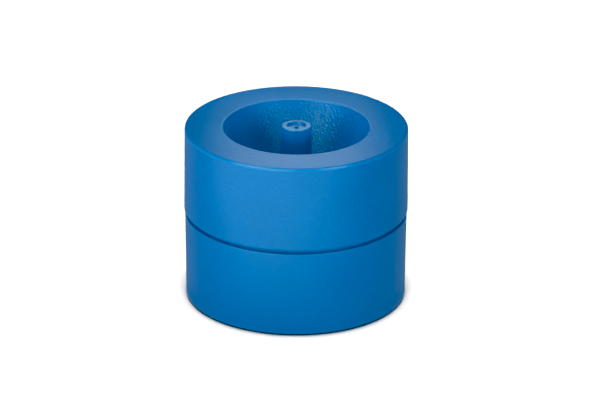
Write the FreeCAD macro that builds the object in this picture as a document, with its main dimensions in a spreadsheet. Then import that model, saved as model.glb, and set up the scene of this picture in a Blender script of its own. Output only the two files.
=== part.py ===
"""Magnetic paper-clip dispenser: a round desk pot in two halves with a funnel in its top.

Clips lie in the pot. Turned over and back, the dispenser lets them slide down the funnel to the post in its
middle, where a rod magnet inside the post holds a few of them ready. The cover lifts straight off for refilling.

Frame: +Z up, the origin on the desk under the middle of the pot, all lengths in millimetres.
"""

import FreeCAD, Part
import os

import Sketcher
from FreeCAD import Placement, Rotation, Vector

FOOT_COUNT = 4
UNDERSIDE_RIB_COUNT = 4
STEM_RIB_COUNT = 4
GRIP_RIB_COUNT = 6
FULL_TURN = 360.0

# The driving dimensions. Radii are from the pot's axis and heights from the desk, unless the name says otherwise.
DIMENSIONS = {
    # pot
    "pot_base_height": 0.7,
    "pot_base_radius": 36.2,
    "pot_shoulder_radius": 36.45,
    "pot_shoulder_height": 29.05,
    "pot_base_round": 0.6,
    "pot_shoulder_round": 0.2,
    "spigot_radius": 34.9,
    "spigot_top_height": 34.7,
    "spigot_edge_round": 0.4,
    "spigot_bore_radius": 33.9,
    "pot_floor_bore_radius": 33.6,
    "pot_floor_height": 4.0,
    "pot_floor_thickness": 2.0,
    "pot_floor_round": 1.6,
    "grip_rib_width": 3.0,
    "grip_rib_reach": 35.15,
    "grip_rib_root": 34.4,
    "grip_rib_bottom_height": 31.0,
    "grip_rib_length": 3.1,
    # middle of the pot
    "socket_radius": 8.2,
    "socket_top_height": 10.0,
    "socket_edge_round": 0.6,
    "post_clearance": 0.05,
    "hub_radius": 11.5,
    "underside_detail_height": 0.9,
    "underside_rib_width": 1.4,
    # feet
    "foot_circle_radius": 26.5,
    "foot_radius": 5.0,
    "foot_thickness": 1.7,
    "foot_round": 0.35,
    "recess_clearance": 0.1,
    "foot_boss_radius": 6.4,
    # post
    "post_flange_radius": 8.5,
    "post_flange_bottom_height": 1.1,
    "post_flange_top_height": 2.8,
    "post_root_radius": 5.6,
    "post_top_radius": 4.9,
    "post_top_height": 59.15,
    "post_edge_round": 0.4,
    "post_bore_radius": 3.6,
    "post_roof_thickness": 1.5,
    "dimple_radius": 3.2,
    "dimple_depth": 0.75,
    "dimple_corner_round": 0.55,
    "gate_nub_radius": 0.65,
    "gate_nub_drop": 0.15,
    "gate_nub_round": 0.4,
    "stem_seat_radius": 6.5,
    "stem_seat_depth": 0.9,
    # magnet and its stem
    "magnet_radius": 3.5,
    "magnet_length": 20.0,
    "end_bevel": 0.3,
    "stem_head_radius": 6.4,
    "stem_head_thickness": 0.85,
    "stem_rib_reach": 3.4,
    "stem_rib_width": 1.5,
    "stem_pad_radius": 3.4,
    "stem_pad_thickness": 1.5,
    # cover
    "cover_edge_height": 30.6,
    "cover_edge_radius": 36.75,
    "cover_edge_round": 0.15,
    "cover_rim_radius": 36.5,
    "cover_rim_height": 58.8,
    "cover_rim_round": 0.75,
    "cover_roof_thickness": 2.2,
    "cover_wall_root_radius": 34.0,
    "cover_wall_foot_radius": 34.25,
    "cover_inner_round": 1.2,
    "rebate_radius": 35.25,
    "funnel_mouth_radius": 24.0,
    "funnel_lip_round": 0.8,
    "funnel_wall_across": 2.4,
    "throat_radius": 13.5,
    "throat_top_height": 43.1,
    "throat_bottom_height": 40.1,
    "throat_round": 6.0,
    "throat_edge_round": 0.5,
    "throat_wall": 1.9,
}


class Size:
    """A length as a number together with the spreadsheet expression that gives it."""

    def __init__(self, value, text):
        self.value = value
        self.text = text

    def joined(self, other, sign, value):
        return Size(value, f"({self.text} {sign} {as_size(other).text})")

    def __add__(self, other):
        return self.joined(other, "+", self.value + as_size(other).value)

    def __sub__(self, other):
        return self.joined(other, "-", self.value - as_size(other).value)

    def __mul__(self, other):
        return self.joined(other, "*", self.value * as_size(other).value)

    def __truediv__(self, other):
        return self.joined(other, "/", self.value / as_size(other).value)

    def __neg__(self):
        return Size(-self.value, f"(0 - {self.text})")


def as_size(number):
    return number if isinstance(number, Size) else Size(float(number), str(float(number)))


def dim(name):
    return Size(DIMENSIONS[name], f"dims.{name}")


def make_sheet(doc):
    """Puts every driving dimension in the spreadsheet, one row each, with its name as the alias."""
    sheet = doc.addObject("Spreadsheet::Sheet", "dims")
    for row, (name, value) in enumerate(DIMENSIONS.items(), 1):
        sheet.set(f"A{row}", name)
        sheet.set(f"B{row}", str(value))
        sheet.setAlias(f"B{row}", name)
    return sheet


# Sketches ------------------------------------------------------------------------------------------------------


def new_body(doc, label):
    body = doc.addObject("PartDesign::Body", label)
    body.Label = label
    return body


def origin_feature(body, role):
    return next(item for item in body.Origin.OriginFeatures if item.Role == role)


def new_sketch(body, name, plane="XY_Plane", height=None):
    """An empty sketch on one of the body's own planes, raised to a height along the plane's normal."""
    sketch = body.newObject("Sketcher::SketchObject", name)
    sketch.AttachmentSupport = (origin_feature(body, plane), [""])
    sketch.MapMode = "FlatFace"
    if height is not None:
        sketch.AttachmentOffset = Placement(Vector(0, 0, height.value), Rotation())
        sketch.setExpression("AttachmentOffset.Base.z", height.text)
    return sketch


def pin_point(sketch, line, x, y):
    """Holds a line's start point at (x, y), by expressions, or on an axis where a coordinate is zero."""
    for kind, size, axis in (("DistanceX", x, -2), ("DistanceY", y, -1)):
        if size.value == 0:
            sketch.addConstraint(Sketcher.Constraint("PointOnObject", line, 1, axis))
        else:
            made = sketch.addConstraint(Sketcher.Constraint(kind, -1, 1, line, 1, size.value))
            sketch.setExpression(f"Constraints[{made}]", size.text)


def outline(sketch, corners):
    """Draws the closed outline through the corners, given as (x, y) pairs of sizes."""
    corners = [(as_size(x), as_size(y)) for x, y in corners]
    points = [Vector(x.value, y.value, 0) for x, y in corners]
    count = len(points)
    for i in range(count):
        sketch.addGeometry(Part.LineSegment(points[i], points[(i + 1) % count]), False)
    for i in range(count):
        sketch.addConstraint(Sketcher.Constraint("Coincident", i, 2, (i + 1) % count, 1))
    for i, (x, y) in enumerate(corners):
        pin_point(sketch, i, x, y)
    return sketch


def box_outline(sketch, x_low, x_high, width):
    """A rectangle from x_low to x_high, centred on the sketch's X axis."""
    half = width / 2
    return outline(sketch, [(x_low, -half), (x_high, -half), (x_high, half), (x_low, half)])


def circle_outline(sketch, radius, centre_x=None):
    """A circle whose centre lies on the sketch's X axis."""
    middle = Vector(centre_x.value if centre_x else 0, 0, 0)
    sketch.addGeometry(Part.Circle(middle, Vector(0, 0, 1), radius.value), False)
    made = sketch.addConstraint(Sketcher.Constraint("Radius", 0, radius.value))
    sketch.setExpression(f"Constraints[{made}]", radius.text)
    sketch.addConstraint(Sketcher.Constraint("PointOnObject", 0, 3, -1))
    if centre_x:
        made = sketch.addConstraint(Sketcher.Constraint("DistanceX", -1, 1, 0, 3, centre_x.value))
        sketch.setExpression(f"Constraints[{made}]", centre_x.text)
    else:
        sketch.addConstraint(Sketcher.Constraint("PointOnObject", 0, 3, -2))
    return sketch


# Features ------------------------------------------------------------------------------------------------------


def revolve(body, name, corners):
    """Turns the outline through the (radius, height) corners about the body's Z axis."""
    sketch = outline(new_sketch(body, name + "_outline", "XZ_Plane"), corners)
    made = body.newObject("PartDesign::Revolution", name)
    made.Profile = sketch
    made.ReferenceAxis = (sketch, ["V_Axis"])
    made.Angle = FULL_TURN
    sketch.Visibility = False
    return made


def pad(body, name, sketch, length):
    made = body.newObject("PartDesign::Pad", name)
    made.Profile = sketch
    made.setExpression("Length", length.text)
    return made


def pocket_up(body, name, sketch, depth):
    """Cuts from the sketch's plane upwards."""
    made = body.newObject("PartDesign::Pocket", name)
    made.Profile = sketch
    made.Reversed = True
    made.setExpression("Length", depth.text)
    return made


def around(body, name, feature, count):
    """Repeats a feature evenly around the body's Z axis."""
    made = body.newObject("PartDesign::PolarPattern", name)
    made.Originals = [feature]
    made.Axis = (origin_feature(body, "Z_Axis"), [""])
    made.Angle = FULL_TURN
    made.Occurrences = count
    body.Tip = made
    return made


def ring_edges(feature, rings):
    """Names the feature's circular edges about the Z axis that have these (radius, height) pairs."""
    near = 1e-4
    found = []
    for number, edge in enumerate(feature.Shape.Edges, 1):
        curve = edge.Curve
        if isinstance(curve, Part.Circle) and any(
            abs(curve.Radius - radius.value) < near and abs(curve.Center.z - height.value) < near
            for radius, height in rings
        ):
            found.append(f"Edge{number}")
    if len(found) != len(rings):
        raise RuntimeError(f"{feature.Label}: {len(found)} edges found for {len(rings)} rings")
    return found


def round_rings(body, name, base, rings, radius):
    """Rounds the circular edges at the given (radius, height) pairs."""
    body.Document.recompute()
    made = body.newObject("PartDesign::Fillet", name)
    made.Base = (base, ring_edges(base, rings))
    made.setExpression("Radius", radius.text)
    return made


def bevel_rings(body, name, base, rings, size):
    body.Document.recompute()
    made = body.newObject("PartDesign::Chamfer", name)
    made.Base = (base, ring_edges(base, rings))
    made.setExpression("Size", size.text)
    return made


# Pieces --------------------------------------------------------------------------------------------------------


def make_base_pot(doc):
    """The lower half: wall, floor, a spigot for the cover, a socket for the post and pads for the feet."""
    body = new_body(doc, "base_pot")
    floor = dim("pot_floor_height")
    underside = floor - dim("pot_floor_thickness")
    low = dim("underside_detail_height")
    bore = dim("post_root_radius") + dim("post_clearance")
    seat = dim("post_flange_radius") + dim("recess_clearance")
    seat_roof = dim("post_flange_top_height")
    shoulder = dim("pot_shoulder_height")
    top = dim("spigot_top_height")
    wall = revolve(
        body,
        "pot_wall",
        [
            (dim("pot_base_radius"), dim("pot_base_height")),
            (dim("pot_shoulder_radius"), shoulder),
            (dim("spigot_radius"), shoulder),
            (dim("spigot_radius"), top),
            (dim("spigot_bore_radius"), top),
            (dim("pot_floor_bore_radius"), floor),
            (dim("socket_radius"), floor),
            (dim("socket_radius"), dim("socket_top_height")),
            (bore, dim("socket_top_height")),
            (bore, seat_roof),
            (seat, seat_roof),
            (seat, low),
            (dim("hub_radius"), low),
            (dim("hub_radius"), underside),
            (dim("pot_floor_bore_radius"), underside),
            (dim("pot_floor_bore_radius"), dim("pot_base_height")),
        ],
    )
    made = round_rings(
        body, "base_edge", wall, [(dim("pot_base_radius"), dim("pot_base_height"))], dim("pot_base_round")
    )
    made = round_rings(
        body, "shoulder_edge", made, [(dim("pot_shoulder_radius"), shoulder)], dim("pot_shoulder_round")
    )
    made = round_rings(
        body,
        "spigot_edges",
        made,
        [(dim("spigot_radius"), top), (dim("spigot_bore_radius"), top)],
        dim("spigot_edge_round"),
    )
    made = round_rings(
        body,
        "floor_corners",
        made,
        [(dim("pot_floor_bore_radius"), floor), (dim("socket_radius"), floor)],
        dim("pot_floor_round"),
    )
    round_rings(
        body, "socket_edge", made, [(dim("socket_radius"), dim("socket_top_height"))], dim("socket_edge_round")
    )

    rib = box_outline(
        new_sketch(body, "grip_rib_outline", height=dim("grip_rib_bottom_height")),
        dim("grip_rib_root"),
        dim("grip_rib_reach"),
        dim("grip_rib_width"),
    )
    rib_pad = pad(body, "grip_rib", rib, dim("grip_rib_length"))
    around(body, "grip_ribs", rib_pad, GRIP_RIB_COUNT)

    stay = box_outline(
        new_sketch(body, "underside_rib_outline", height=low),
        dim("hub_radius") - dim("underside_rib_width"),
        dim("pot_floor_bore_radius") + dim("underside_rib_width"),
        dim("underside_rib_width"),
    )
    stay_pad = pad(body, "underside_rib", stay, dim("pot_floor_thickness"))
    around(body, "underside_ribs", stay_pad, UNDERSIDE_RIB_COUNT)

    boss = circle_outline(
        new_sketch(body, "foot_boss_outline", height=low), dim("foot_boss_radius"), dim("foot_circle_radius")
    )
    boss_pad = pad(body, "foot_boss", boss, dim("pot_floor_thickness"))
    around(body, "foot_bosses", boss_pad, FOOT_COUNT)

    recess = circle_outline(
        new_sketch(body, "foot_recess_outline", height=low),
        dim("foot_radius") + dim("recess_clearance"),
        dim("foot_circle_radius"),
    )
    recess_cut = pocket_up(body, "foot_recess", recess, dim("foot_thickness") - low)
    around(body, "foot_recesses", recess_cut, FOOT_COUNT)
    return body


def make_magnet_post(doc):
    """The hollow post: a flange under the pot's floor and a closed top with a gate dimple and nub."""
    body = new_body(doc, "magnet_post")
    base = dim("post_flange_bottom_height")
    flange_top = dim("post_flange_top_height")
    seat_top = base + dim("stem_seat_depth")
    top = dim("post_top_height")
    dimple_floor = top - dim("dimple_depth")
    nub_top = top - dim("gate_nub_drop")
    roof = dimple_floor - dim("post_roof_thickness")
    sleeve = revolve(
        body,
        "post_sleeve",
        [
            (dim("stem_seat_radius"), base),
            (dim("post_flange_radius"), base),
            (dim("post_flange_radius"), flange_top),
            (dim("post_root_radius"), flange_top),
            (dim("post_root_radius"), dim("socket_top_height")),
            (dim("post_top_radius"), top),
            (dim("dimple_radius"), top),
            (dim("dimple_radius"), dimple_floor),
            (dim("gate_nub_radius"), dimple_floor),
            (dim("gate_nub_radius"), nub_top),
            (0, nub_top),
            (0, roof),
            (dim("post_bore_radius"), roof),
            (dim("post_bore_radius"), seat_top),
            (dim("stem_seat_radius"), seat_top),
        ],
    )
    made = round_rings(body, "post_edge", sleeve, [(dim("post_top_radius"), top)], dim("post_edge_round"))
    made = round_rings(
        body, "dimple_corner", made, [(dim("dimple_radius"), dimple_floor)], dim("dimple_corner_round")
    )
    round_rings(body, "nub_top", made, [(dim("gate_nub_radius"), nub_top)], dim("gate_nub_round"))
    return body


def magnet_bottom():
    roof = dim("post_top_height") - dim("dimple_depth") - dim("post_roof_thickness")
    return roof - dim("post_clearance") - dim("magnet_length")


def make_rod_magnet(doc):
    """The rod magnet that lies against the closed top of the post."""
    body = new_body(doc, "rod_magnet")
    bottom = magnet_bottom()
    disc = circle_outline(new_sketch(body, "magnet_outline", height=bottom), dim("magnet_radius"))
    rod = pad(body, "magnet_rod", disc, dim("magnet_length"))
    ends = [(dim("magnet_radius"), bottom), (dim("magnet_radius"), bottom + dim("magnet_length"))]
    bevel_rings(body, "magnet_bevels", rod, ends, dim("end_bevel"))
    return body


def make_magnet_stem(doc):
    """The plug that closes the post from below, with a cross-ribbed stem that holds the magnet up."""
    body = new_body(doc, "magnet_stem")
    head_top = dim("post_flange_bottom_height") + dim("stem_seat_depth")
    head_bottom = head_top - dim("stem_head_thickness")
    pad_bottom = magnet_bottom() - dim("stem_pad_thickness")
    head = circle_outline(new_sketch(body, "stem_head_outline", height=head_bottom), dim("stem_head_radius"))
    head_pad = pad(body, "stem_head", head, dim("stem_head_thickness"))
    bevel_rings(body, "stem_head_bevel", head_pad, [(dim("stem_head_radius"), head_bottom)], dim("end_bevel"))
    rib = box_outline(
        new_sketch(body, "stem_rib_outline", height=head_top),
        as_size(0),
        dim("stem_rib_reach"),
        dim("stem_rib_width"),
    )
    rib_pad = pad(body, "stem_rib", rib, pad_bottom - head_top)
    around(body, "stem_ribs", rib_pad, STEM_RIB_COUNT)
    rest = circle_outline(new_sketch(body, "stem_pad_outline", height=pad_bottom), dim("stem_pad_radius"))
    pad(body, "stem_pad", rest, dim("stem_pad_thickness"))
    return body


def make_rubber_foot(doc, number):
    """One of the round rubber feet, set in its recess under the pot."""
    body = new_body(doc, f"rubber_foot_{number}")
    disc = circle_outline(new_sketch(body, f"foot_{number}_outline"), dim("foot_radius"))
    made = pad(body, f"foot_{number}_disc", disc, dim("foot_thickness"))
    round_rings(body, f"foot_{number}_edge", made, [(dim("foot_radius"), as_size(0))], dim("foot_round"))
    turn = FULL_TURN / FOOT_COUNT * (number - 1)
    body.setExpression("Placement.Base.x", f"dims.foot_circle_radius * cos({turn} deg)")
    body.setExpression("Placement.Base.y", f"dims.foot_circle_radius * sin({turn} deg)")
    return body


def make_top_cover(doc):
    """The upper half: wall, flat rim and the funnel with its throat, open below to drop over the spigot."""
    body = new_body(doc, "top_cover")
    rim = dim("cover_rim_height")
    roof = rim - dim("cover_roof_thickness")
    mouth = dim("funnel_mouth_radius")
    throat = dim("throat_radius")
    throat_top = dim("throat_top_height")
    slope = (mouth - throat) / (rim - throat_top)
    throat_outer = throat + dim("throat_wall")
    cone_foot = throat_top - (dim("funnel_wall_across") - dim("throat_wall")) / slope
    cone_head_radius = throat + (roof - throat_top) * slope + dim("funnel_wall_across")
    ceiling = dim("spigot_top_height")
    edge = dim("cover_edge_height")
    made = revolve(
        body,
        "cover_shell",
        [
            (dim("cover_edge_radius"), edge),
            (dim("cover_rim_radius"), rim),
            (mouth, rim),
            (throat, throat_top),
            (throat, dim("throat_bottom_height")),
            (throat_outer, dim("throat_bottom_height")),
            (throat_outer, cone_foot),
            (cone_head_radius, roof),
            (dim("cover_wall_root_radius"), roof),
            (dim("cover_wall_foot_radius"), ceiling),
            (dim("rebate_radius"), ceiling),
            (dim("rebate_radius"), edge),
        ],
    )
    made = round_rings(body, "rim_edge", made, [(dim("cover_rim_radius"), rim)], dim("cover_rim_round"))
    made = round_rings(body, "funnel_lip", made, [(mouth, rim)], dim("funnel_lip_round"))
    made = round_rings(body, "throat_bend", made, [(throat, throat_top)], dim("throat_round"))
    made = round_rings(
        body,
        "throat_edges",
        made,
        [(throat, dim("throat_bottom_height")), (throat_outer, dim("throat_bottom_height"))],
        dim("throat_edge_round"),
    )
    made = round_rings(body, "cover_edge", made, [(dim("cover_edge_radius"), edge)], dim("cover_edge_round"))
    round_rings(
        body,
        "roof_corners",
        made,
        [(dim("cover_wall_root_radius"), roof), (cone_head_radius, roof)],
        dim("cover_inner_round"),
    )
    return body


# Document ------------------------------------------------------------------------------------------------------


def check_document(doc, bodies):
    """Stops if any object failed or any piece isn't one valid solid."""
    for item in doc.Objects:
        if "Invalid" in item.State or "Error" in item.State:
            raise RuntimeError(f"{item.Label} failed: {item.State}")
    for body in bodies:
        shape = body.Shape
        if shape.isNull() or not shape.isValid() or len(shape.Solids) != 1:
            raise RuntimeError(f"{body.Label} isn't one valid solid")


def main():
    doc = FreeCAD.newDocument("clip_dispenser")
    make_sheet(doc)
    doc.recompute()
    bodies = [
        make_base_pot(doc),
        make_magnet_post(doc),
        make_rod_magnet(doc),
        make_magnet_stem(doc),
        make_top_cover(doc),
    ]
    bodies += [make_rubber_foot(doc, number) for number in range(1, FOOT_COUNT + 1)]
    doc.recompute()
    check_document(doc, bodies)
    os.makedirs("parts", exist_ok=True)
    for body in bodies:
        body.Shape.exportStep(f"parts/{body.Label}.step")
        box = body.Shape.BoundBox
        print(
            f"{body.Label}: {body.Shape.Volume / 1000:.2f} cm3, z {box.ZMin:.2f} to {box.ZMax:.2f},"
            f" across {box.XLength:.2f}"
        )


main()
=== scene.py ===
"""Looks of the magnetic paper-clip dispenser: materials, floor, lights and camera around its frame."""

import math

import bpy
from mathutils import Matrix, Vector


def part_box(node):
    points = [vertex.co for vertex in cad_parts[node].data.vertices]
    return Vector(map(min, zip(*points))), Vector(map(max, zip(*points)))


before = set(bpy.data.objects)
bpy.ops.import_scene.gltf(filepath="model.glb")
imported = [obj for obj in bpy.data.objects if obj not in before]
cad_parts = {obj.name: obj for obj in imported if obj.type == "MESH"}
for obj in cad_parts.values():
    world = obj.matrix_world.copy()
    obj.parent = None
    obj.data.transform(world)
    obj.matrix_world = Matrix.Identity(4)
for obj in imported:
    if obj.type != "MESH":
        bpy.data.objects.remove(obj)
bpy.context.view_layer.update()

# Every length is in metres, as in the frame.
MM = 0.001


# Node helpers ---------------------------------------------------------------------------------


class Shader:
    """A material with a Principled BSDF, and short ways to add nodes to it."""

    def __init__(self, name):
        self.material = bpy.data.materials.new(name)
        self.material.use_nodes = True
        self.tree = self.material.node_tree
        self.surface = self.tree.nodes["Principled BSDF"]
        self.position = self.add("ShaderNodeTexCoord").outputs["Object"]

    def set(self, name, value):
        """Fixes one of the surface's own sockets."""
        self.surface.inputs[name].default_value = value

    def feed(self, name, source):
        """Drives one of the surface's own sockets."""
        self.link(source, self.surface.inputs[name])

    def add(self, kind, **settings):
        """Adds a node with these settings."""
        node = self.tree.nodes.new(kind)
        for key, value in settings.items():
            setattr(node, key, value)
        return node

    def link(self, source, socket):
        """Joins another node's output to the socket, or writes a plain number into it."""
        if isinstance(source, (int, float)):
            socket.default_value = source
        else:
            self.tree.links.new(source, socket)

    def maths(self, operation, *values):
        """Works on outputs and plain numbers with one maths node."""
        node = self.add("ShaderNodeMath", operation=operation)
        for value, socket in zip(values, node.inputs):
            self.link(value, socket)
        return node.outputs["Value"]

    def noise(self, size, detail=2.0):
        """Noise from 0 to 1 whose blotches are about this size."""
        node = self.add("ShaderNodeTexNoise")
        self.link(self.position, node.inputs["Vector"])
        self.link(1.0 / size, node.inputs["Scale"])
        self.link(detail, node.inputs["Detail"])
        return node.outputs["Fac"]

    def cells(self, size):
        """Distance to the middle of the nearest of many cells of about this size, in cells."""
        node = self.add("ShaderNodeTexVoronoi")
        self.link(self.position, node.inputs["Vector"])
        self.link(1.0 / size, node.inputs["Scale"])
        return node.outputs["Distance"]

    def radius(self):
        """Distance from the Z axis."""
        flat = self.add("ShaderNodeVectorMath", operation="MULTIPLY")
        self.link(self.position, flat.inputs[0])
        flat.inputs[1].default_value = (1.0, 1.0, 0.0)
        length = self.add("ShaderNodeVectorMath", operation="LENGTH")
        self.link(flat.outputs["Vector"], length.inputs[0])
        return length.outputs["Value"]

    def along(self, direction):
        """How far along a direction, given as a unit vector."""
        node = self.add("ShaderNodeVectorMath", operation="DOT_PRODUCT")
        self.link(self.position, node.inputs[0])
        node.inputs[1].default_value = direction
        return node.outputs["Value"]

    def height(self):
        """Height above the desk when the cover is closed."""
        node = self.add("ShaderNodeSeparateXYZ")
        self.link(self.position, node.inputs["Vector"])
        return node.outputs["Z"]

    def spread(self, source, low, high, to_low=0.0, to_high=1.0):
        """Maps low..high of the source onto to_low..to_high, smoothly and clamped."""
        node = self.add("ShaderNodeMapRange", interpolation_type="SMOOTHSTEP")
        names = ("Value", "From Min", "From Max", "To Min", "To Max")
        for name, value in zip(names, (source, low, high, to_low, to_high)):
            self.link(value, node.inputs[name])
        return node.outputs["Result"]

    def near_ring(self, radius, height, reach):
        """1 on the circle about the Z axis with this radius and height, fading to 0 at reach."""
        across = self.maths("SUBTRACT", self.radius(), radius)
        up = self.maths("SUBTRACT", self.height(), height)
        squares = [self.maths("POWER", offset, 2.0) for offset in (across, up)]
        return self.spread(self.maths("SQRT", self.maths("ADD", *squares)), reach, 0.0)

    def mixed(self, factor, first, second):
        """Mixes a plain colour over a colour output."""
        node = self.add("ShaderNodeMixRGB")
        self.link(factor, node.inputs["Fac"])
        self.link(first, node.inputs["Color1"])
        node.inputs["Color2"].default_value = (*second, 1.0)
        return node.outputs["Color"]

    def blend_colour(self, factor, first, second):
        """Runs from the first plain colour at factor 0 to the second at factor 1."""
        node = self.add("ShaderNodeValToRGB")
        self.link(factor, node.inputs["Fac"])
        node.color_ramp.elements[0].color = (*first, 1.0)
        node.color_ramp.elements[1].color = (*second, 1.0)
        return node.outputs["Color"]

    def relief(self, height):
        """Gives the surface a fine relief."""
        node = self.add("ShaderNodeBump")
        self.link(1.0, node.inputs["Strength"])
        self.link(1.0, node.inputs["Distance"])
        self.link(height, node.inputs["Height"])
        self.feed("Normal", node.outputs["Normal"])


# Grain and clouding ---------------------------------------------------------------------------

# Nearly all of a noise's values lie in this range.
NOISE_RANGE = (0.3, 0.7)
CLOUD_SIZE = 14 * MM
SPECKLE_SHARE = 0.7
GRAIN_SIZE = 0.6 * MM
GRAIN_DEPTH = 0.040 * MM
BROAD_PIT_RATIO = 3
DIMPLE_SIZE = 0.75 * MM


def shade(colour, factor):
    """The colour made darker or lighter by a factor."""
    return tuple(min(1.0, part * factor) for part in colour)


def clouded(shader, colour, amount):
    """The colour, varied by plus or minus the amount in broad clouds and a fine speckle."""
    cloud = shader.spread(shader.noise(CLOUD_SIZE, detail=3.0), *NOISE_RANGE)
    speckle = shader.spread(shader.noise(GRAIN_SIZE), *NOISE_RANGE)
    slow = shader.maths("MULTIPLY", cloud, 1 - SPECKLE_SHARE)
    both = shader.maths("MULTIPLY_ADD", speckle, SPECKLE_SHARE, slow)
    return shader.blend_colour(both, shade(colour, 1 - amount), shade(colour, 1 + amount))


def grain(shader, size=GRAIN_SIZE, depth=GRAIN_DEPTH):
    """The relief of a spark-eroded mould: fine pits over broader ones."""
    fine = shader.maths("MULTIPLY", shader.noise(size), depth)
    broad = shader.maths("MULTIPLY", shader.noise(BROAD_PIT_RATIO * size, detail=1.0), depth)
    return shader.maths("ADD", fine, broad)


def dimples(shader, depth):
    """The relief of a glossier moulding: small round dimples."""
    across = shader.cells(DIMPLE_SIZE)
    return shader.maths("MULTIPLY", shader.maths("MULTIPLY", across, across), depth)


# Blue plastic ---------------------------------------------------------------------------------

BLUE = (0.0, 0.134, 0.445)
BLUE_VARIATION = 0.07
SPECULAR_TINT = (0.5, 0.97, 1.0, 1.0)
SPECULAR_LEVEL = 0.8
WALL_ROUGHNESS = 0.35
DIMPLED_ROUGHNESS = 0.25
POLISHED_ROUGHNESS = 0.22

# The grain's strength outside, and the dimples' depth where the mould leaves a piece smoother.
COVER_TEXTURE = 1.8
POT_TEXTURE = 1.0
FUNNEL_DIMPLES = 0.170 * MM
POT_DIMPLES = FUNNEL_DIMPLES / 3
POST_DIMPLES = FUNNEL_DIMPLES / 8

# Edges that handling wears flatter and glossier. Their paler colour is partly wear and partly a
# painted highlight, the bright line that the rounded edges catch.
RUBBED_AND_HIGHLIGHT_BLUE = (0.01, 0.22, 0.56)
RUBBED_AND_HIGHLIGHT_SHARE = 0.7
RUBBED_ROUGHNESS = 0.27
EDGE_REACH = 0.7 * MM
LOWER_EDGE_WEAR_AND_HIGHLIGHT = 0.35

# Where the edges and the smoother parts are, besides what the nodes' boxes say.
RIM_RADIUS = 36.5 * MM
RIM_EDGE_DROP = 0.55 * MM
SHADOW_GAP = 1.55 * MM
FUNNEL_MOUTH_RADIUS = 24.0 * MM
FUNNEL_LIP_WIDTH = 0.4 * MM
POT_INSIDE_RADIUS = 34.2 * MM
POT_INSIDE_BLEND = 0.2 * MM
POST_TOP_RADIUS = 4.9 * MM
POLISHED_DEPTH = 0.9 * MM
POLISHED_BLEND = 0.5 * MM

cover_low, cover_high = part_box("top_cover")
pot_low, pot_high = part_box("base_pot")
post_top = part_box("magnet_post")[1][2]


def moulded_blue(shader, texture, rubbed_and_highlit, smooth, smooth_roughness, smooth_relief):
    """Blue polypropylene with a fine grain, whose strength is the texture.

    The edge mask marks the edges that handling has made flatter and glossier, and paler in a colour
    that is partly wear and partly a painted highlight along the edge. smooth masks the part of the
    piece that its mould leaves smoother, with its own roughness and relief.
    """
    shader.set("Specular Tint", SPECULAR_TINT)
    shader.set("Specular IOR Level", SPECULAR_LEVEL)
    # The edges' paler colour is partly wear and partly a painted highlight.
    worn_and_highlit = shader.maths("MULTIPLY", rubbed_and_highlit, RUBBED_AND_HIGHLIGHT_SHARE)
    varied = clouded(shader, BLUE, BLUE_VARIATION * texture)
    shader.feed("Base Color", shader.mixed(worn_and_highlit, varied, RUBBED_AND_HIGHLIGHT_BLUE))
    roughness = shader.spread(rubbed_and_highlit, 0.0, 1.0, WALL_ROUGHNESS, RUBBED_ROUGHNESS)
    shader.feed("Roughness", shader.spread(smooth, 0.0, 1.0, roughness, smooth_roughness))
    pits = grain(shader, depth=GRAIN_DEPTH * texture)
    relief = shader.spread(rubbed_and_highlit, 0.0, 1.0, pits, 0.0)
    shader.relief(shader.spread(smooth, 0.0, 1.0, relief, smooth_relief))
    return shader.material


def lower_edge(shader, radius, height):
    """Masks an edge below the rim, which handling rubs less. Its paler colour is partly wear and
    partly a painted highlight.
    """
    ring = shader.near_ring(radius, height, EDGE_REACH)
    return shader.maths("MULTIPLY", ring, LOWER_EDGE_WEAR_AND_HIGHLIGHT)


def cover_blue():
    """The cover: grained outside, with coarse and glossier dimples inside the funnel's mouth."""
    shader = Shader("cover_blue")
    # The rim's top edge, paler partly from wear and partly as a painted highlight of its rounded edge.
    upper = shader.near_ring(RIM_RADIUS, cover_high[2] - RIM_EDGE_DROP, EDGE_REACH)
    lower = lower_edge(shader, cover_high[0], cover_low[2])
    rubbed_and_highlit = shader.maths("MAXIMUM", upper, lower)
    lip = FUNNEL_MOUTH_RADIUS - FUNNEL_LIP_WIDTH
    funnel = shader.spread(shader.radius(), FUNNEL_MOUTH_RADIUS, lip)
    relief = dimples(shader, FUNNEL_DIMPLES)
    return moulded_blue(shader, COVER_TEXTURE, rubbed_and_highlit, funnel, DIMPLED_ROUGHNESS, relief)


def pot_blue():
    """The pot: grained outside, with shallow dimples inside its wall and under its floor."""
    shader = Shader("pot_blue")
    # The pot's shoulder edge, paler partly from wear and partly as a painted highlight.
    upper = lower_edge(shader, pot_high[0], cover_low[2] - SHADOW_GAP)
    lower = lower_edge(shader, pot_high[0], pot_low[2])
    rubbed_and_highlit = shader.maths("MAXIMUM", upper, lower)
    within_wall = POT_INSIDE_RADIUS + POT_INSIDE_BLEND
    inside = shader.spread(shader.radius(), within_wall, POT_INSIDE_RADIUS)
    relief = dimples(shader, POT_DIMPLES)
    return moulded_blue(shader, POT_TEXTURE, rubbed_and_highlit, inside, DIMPLED_ROUGHNESS, relief)


def post_blue():
    """The post: satin sides and a polished top."""
    shader = Shader("post_blue")
    polished = post_top - POLISHED_DEPTH
    top = shader.spread(shader.height(), polished - POLISHED_BLEND, polished)
    # The post's top edge, paler partly from wear and partly as a painted highlight.
    edge = shader.near_ring(POST_TOP_RADIUS, post_top, EDGE_REACH)
    relief = dimples(shader, POST_DIMPLES)
    return moulded_blue(shader, POT_TEXTURE, edge, top, POLISHED_ROUGHNESS, relief)


# Hidden parts and feet ------------------------------------------------------------------------

PLUG_GREY = (0.28, 0.29, 0.31)
PLUG_VARIATION = 0.06
PLUG_PATCH_SIZE = 2 * MM
PLUG_ROUGHNESS = (0.40, 0.52)

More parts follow.
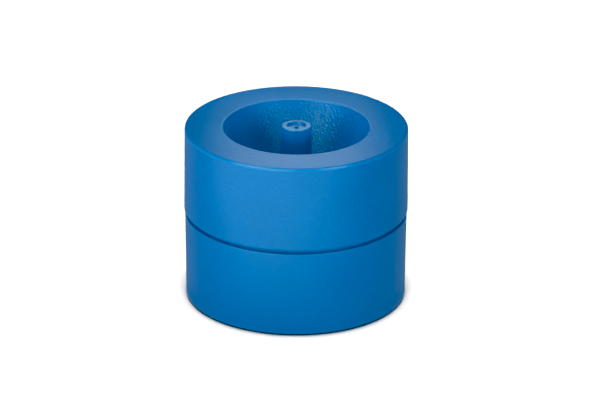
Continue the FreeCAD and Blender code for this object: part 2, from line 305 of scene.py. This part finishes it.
NICKEL = (0.66, 0.64, 0.60)
NICKEL_VARIATION = 0.05
HAZE_SIZE = 1.5 * MM
HAZE_RANGE = (0.35, 0.65)
HAZE_ROUGHNESS = (0.16, 0.30)
TUMBLING_SIZE = 0.2 * MM
TUMBLING_DEPTH = 0.001 * MM

RUBBER = (0.028, 0.028, 0.030)
RUBBER_ROUGHNESS = (0.72, 0.9)
RUBBER_GRAIN_SIZE = 0.25 * MM
RUBBER_GRAIN_DEPTH = 0.012 * MM
DUST_SIZE = 1.2 * MM
DUST_RANGE = (0.45, 0.75)
DUST_PALENESS = 1.9
SCUFF_HEIGHT = 0.3 * MM
SCUFF_SHARE = 0.6


def plug_grey():
    """The grey moulding that closes the post from below."""
    shader = Shader("plug_grey")
    shader.feed("Base Color", clouded(shader, PLUG_GREY, PLUG_VARIATION))
    patches = shader.noise(PLUG_PATCH_SIZE)
    shader.feed("Roughness", shader.spread(patches, *NOISE_RANGE, *PLUG_ROUGHNESS))
    shader.relief(grain(shader))
    return shader.material


def magnet_plating():
    """Bright nickel plating with a slight haze and fine tumbling marks."""
    shader = Shader("magnet_plating")
    shader.set("Metallic", 1.0)
    shader.feed("Base Color", clouded(shader, NICKEL, NICKEL_VARIATION))
    haze = shader.noise(HAZE_SIZE, detail=4.0)
    shader.feed("Roughness", shader.spread(haze, *HAZE_RANGE, *HAZE_ROUGHNESS))
    shader.relief(grain(shader, TUMBLING_SIZE, TUMBLING_DEPTH))
    return shader.material


def foot_rubber():
    """Dull black rubber with a dusty bloom and a scuffed, paler edge where it meets the desk."""
    shader = Shader("foot_rubber")
    dust = shader.spread(shader.noise(DUST_SIZE, detail=5.0), *DUST_RANGE)
    scuff = shader.maths("MULTIPLY", shader.spread(shader.height(), SCUFF_HEIGHT, 0.0), SCUFF_SHARE)
    pale = shader.maths("MAXIMUM", dust, scuff)
    shader.feed("Base Color", shader.blend_colour(pale, RUBBER, shade(RUBBER, DUST_PALENESS)))
    shader.feed("Roughness", shader.spread(dust, 0.0, 1.0, *RUBBER_ROUGHNESS))
    shader.relief(grain(shader, RUBBER_GRAIN_SIZE, RUBBER_GRAIN_DEPTH))
    return shader.material


def give(material, *nodes):
    """Gives the CAD nodes this material in place of their own."""
    for name in nodes:
        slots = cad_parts[name].data.materials
        slots.clear()
        slots.append(material)


give(cover_blue(), "top_cover")
give(pot_blue(), "base_pot")
give(post_blue(), "magnet_post")
give(plug_grey(), "magnet_stem")
give(magnet_plating(), "rod_magnet")
give(foot_rubber(), *(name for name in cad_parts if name.startswith("rubber_foot")))


# Floor and backdrop ---------------------------------------------------------------------------

WHITE = (1.0, 1.0, 1.0, 1.0)
BLACK = (0.0, 0.0, 0.0, 1.0)
FLOOR_SIZE = 1.2
FLOOR_COLOUR = (0.9, 0.9, 0.9, 1.0)
BACKDROP_RADIUS = 4.0

# The ring's dark grey is painted shade and its pale part a painted pool of light, on the floor that
# the pieces see.
FLAG_HEIGHT = 0.2 * MM
FLAG_INNER_RADIUS = 0.037
FLAG_OUTER_RADIUS = 0.7
FLAG_STEPS = 96
FLAG_DARK = (0.16, 0.16, 0.16)
FLAG_PALE = (0.75, 0.75, 0.75)
FLAG_PALE_AZIMUTH = -20
FLAG_PALE_START = (0.05, 0.11)


def around(azimuth, elevation, distance):
    """A place seen from the object. Azimuth 0 is the camera's side, and positive is right."""
    turn = math.radians(azimuth)
    tilt = math.radians(elevation)
    return (
        distance * math.sin(turn) * math.cos(tilt),
        -distance * math.cos(turn) * math.cos(tilt),
        distance * math.sin(tilt),
    )


def matt(name):
    """A shader without any gloss."""
    shader = Shader(name)
    shader.set("Specular IOR Level", 0.0)
    return shader


def make_floor():
    """The plain pale floor."""
    bpy.ops.mesh.primitive_plane_add(size=FLOOR_SIZE, location=(0, 0, 0))
    floor = bpy.context.object
    floor.name = "floor"
    shader = matt("floor_white")
    shader.set("Base Color", FLOOR_COLOUR)
    floor.data.materials.append(shader.material)
    return floor


def make_backdrop():
    """A plain white surround that only the camera sees."""
    bpy.ops.mesh.primitive_uv_sphere_add(radius=BACKDROP_RADIUS)
    backdrop = bpy.context.object
    backdrop.name = "backdrop"
    shader = matt("backdrop_white")
    shader.set("Base Color", BLACK)
    shader.set("Emission Color", WHITE)
    shader.set("Emission Strength", 1.0)
    backdrop.data.materials.append(shader.material)
    backdrop.visible_diffuse = False
    backdrop.visible_glossy = False
    backdrop.visible_shadow = False


def make_flag():
    """A ring just above the floor, unseen by the camera, that hides the floor from the pieces.

    They get the ring's bounce instead, which is weak except from the front left. Its dark grey is
    painted shade of the floor around the object, and its pale part to the front left is a painted pool
    of light, which the walls also reflect as sheen.
    """
    angles = [2 * math.pi * step / FLAG_STEPS for step in range(FLAG_STEPS)]
    places = [
        (radius * math.cos(angle), radius * math.sin(angle), FLAG_HEIGHT)
        for radius in (FLAG_INNER_RADIUS, FLAG_OUTER_RADIUS)
        for angle in angles
    ]
    following = [(step + 1) % FLAG_STEPS for step in range(FLAG_STEPS)]
    faces = [
        (step, FLAG_STEPS + step, FLAG_STEPS + after, after) for step, after in enumerate(following)
    ]
    mesh = bpy.data.meshes.new("flag")
    mesh.from_pydata(places, [], faces)
    shader = matt("flag_grey")
    front = shader.along(around(FLAG_PALE_AZIMUTH, 0, 1.0))
    pale = shader.spread(front, *FLAG_PALE_START)
    shader.feed("Base Color", shader.blend_colour(pale, FLAG_DARK, FLAG_PALE))
    mesh.materials.append(shader.material)
    flag = bpy.data.objects.new("flag", mesh)
    bpy.context.scene.collection.objects.link(flag)
    flag.visible_camera = False
    flag.visible_shadow = False
    return flag


# Lights ---------------------------------------------------------------------------------------

LIGHT_DISTANCE = 1.5
MIDDLE = (0, 0, 0.03)
FLOOR_MIDDLE = (0, 0, 0)

# Each light's name, azimuth and elevation in degrees, width, height and irradiance (over pi).
PIECE_LIGHTS = (
    ("key_low", -45, 12, 0.9, 0.3, 0.21),
    ("key_middle", -45, 24, 0.9, 0.3, 0.07),
    ("key_high", -45, 40, 0.9, 0.3, 0.11),
    ("fill_low", 38, 12, 0.6, 0.3, 0.14),
    ("fill_middle", 38, 24, 0.6, 0.3, 0.09),
    ("fill_high", 38, 40, 0.6, 0.3, 0.05),
    ("front_low", -15, 10, 0.6, 0.4, 0.17),
    ("front_high", 0, 36, 0.9, 0.3, 0.09),
    ("top", 180, 75, 0.9, 0.9, 0.24),
    ("top_left", -90, 65, 0.8, 0.8, 0.28),
    ("top_right", 90, 65, 0.8, 0.8, 0.06),
)
# These light the walls evenly, and stay low and unreflected so that the funnel keeps its shade.
SIDE_LIGHTS = (
    ("left", -100, 10, 0.6, 0.2, 0.19),
    ("right", 85, 10, 0.6, 0.2, 0.25),
    ("back", 180, 10, 0.9, 0.2, 0.35),
    ("back_left", -140, 10, 0.9, 0.2, 0.10),
    ("back_right", 140, 10, 0.9, 0.2, 0.10),
)
FLOOR_LIGHTS = (
    ("floor_top", 0, 90, 0.25, 0.25, 1.0),
    ("floor_front", 0, 55, 0.6, 0.6, 0.55),
)
FLAG_LIGHTS = (("flag_top", 0, 90, 0.3, 0.3, 1.8),)

SHEEN_CARD_PLACE = (0, 0.085, 0.112)
SHEEN_CARD_TARGET = (0, 0, 0.06)
SHEEN_CARD_SIZE = (0.052, 0.034)
SHEEN_CARD_IRRADIANCE = 0.13


def collection_of(name, objects):
    """A collection outside the scene, which only says what a light reaches."""
    made = bpy.data.collections.new(name)
    for item in objects:
        made.objects.link(item)
    return made


def make_world():
    """A black world, so that only the lights light the scene."""
    world = bpy.data.worlds.new("studio")
    bpy.context.scene.world = world
    world.use_nodes = True
    world.node_tree.nodes["Background"].inputs["Strength"].default_value = 0.0


def area_light(name, place, target, size, irradiance, lit):
    """A soft light that gives the irradiance (over pi) at its target, and lights one collection."""
    way = Vector(target) - Vector(place)
    data = bpy.data.lights.new(name, "AREA")
    data.shape = "RECTANGLE"
    data.size, data.size_y = size
    # A card's power is pi times the distance squared times the irradiance that it gives there.
    data.energy = irradiance * math.pi * math.pi * way.length ** 2
    light = bpy.data.objects.new(name, data)
    bpy.context.scene.collection.objects.link(light)
    light.location = place
    light.rotation_euler = way.to_track_quat("-Z", "Y").to_euler()
    light.visible_camera = False
    light.light_linking.receiver_collection = lit
    return light


def light_up(rows, target, lit, reflected=True):
    """Makes the lights in these rows, all aimed at the target."""
    for name, azimuth, elevation, width, height, irradiance in rows:
        place = around(azimuth, elevation, LIGHT_DISTANCE)
        light = area_light(name, place, target, (width, height), irradiance, lit)
        light.visible_glossy = reflected


def make_sheen_card(lit):
    """A small card behind the object that is only reflected, as the rim's pale sheen."""
    card = area_light(
        "sheen_card", SHEEN_CARD_PLACE, SHEEN_CARD_TARGET, SHEEN_CARD_SIZE, SHEEN_CARD_IRRADIANCE, lit
    )
    card.visible_diffuse = False


# Camera and display ---------------------------------------------------------------------------

CAMERA_DISTANCE = 1.3
CAMERA_ELEVATION = math.radians(23.0)
CAMERA_ROLL = math.radians(0.32)
CAMERA_AIM = Vector((1.31 * MM, 0, 32.66 * MM))
CAMERA_REACH = 20.0
# In millimetres, as on a real camera.
CAMERA_LENS = 237.4
CAMERA_SENSOR = 36.0

RED_FOOT = 0.03
RED_SHOULDER = 0.25


def make_camera():
    """The camera at the photo's angle."""
    data = bpy.data.cameras.new("camera")
    data.lens = CAMERA_LENS
    data.sensor_width = CAMERA_SENSOR
    data.clip_end = CAMERA_REACH
    camera = bpy.data.objects.new("camera", data)
    bpy.context.scene.collection.objects.link(camera)
    back = Vector((0, -math.cos(CAMERA_ELEVATION), math.sin(CAMERA_ELEVATION)))
    camera.location = CAMERA_AIM + back * CAMERA_DISTANCE
    look = (-back).to_track_quat("-Z", "Y").to_matrix()
    camera.rotation_euler = (look @ Matrix.Rotation(CAMERA_ROLL, 3, "Z")).to_euler()
    bpy.context.scene.camera = camera


def set_view():
    """Plain display, with a foot on its red curve.

    A blue this deep has less red than a screen can show, and the photo has none there.
    """
    view = bpy.context.scene.view_settings
    view.view_transform = "Standard"
    view.use_curve_mapping = True
    red = view.curve_mapping.curves[0]
    red.points[0].location = (RED_FOOT, 0.0)
    red.points.new(RED_SHOULDER, RED_SHOULDER)
    for point in red.points:
        point.handle_type = "VECTOR"
    view.curve_mapping.update()


# Scene ----------------------------------------------------------------------------------------

pieces = collection_of("pieces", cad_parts.values())
floor = collection_of("floor", [make_floor()])
flag = collection_of("flag", [make_flag()])
make_backdrop()
make_world()
light_up(PIECE_LIGHTS, MIDDLE, pieces)
light_up(SIDE_LIGHTS, MIDDLE, pieces, reflected=False)
light_up(FLOOR_LIGHTS, FLOOR_MIDDLE, floor)
light_up(FLAG_LIGHTS, FLOOR_MIDDLE, flag)
make_sheen_card(pieces)
make_camera()
set_view()
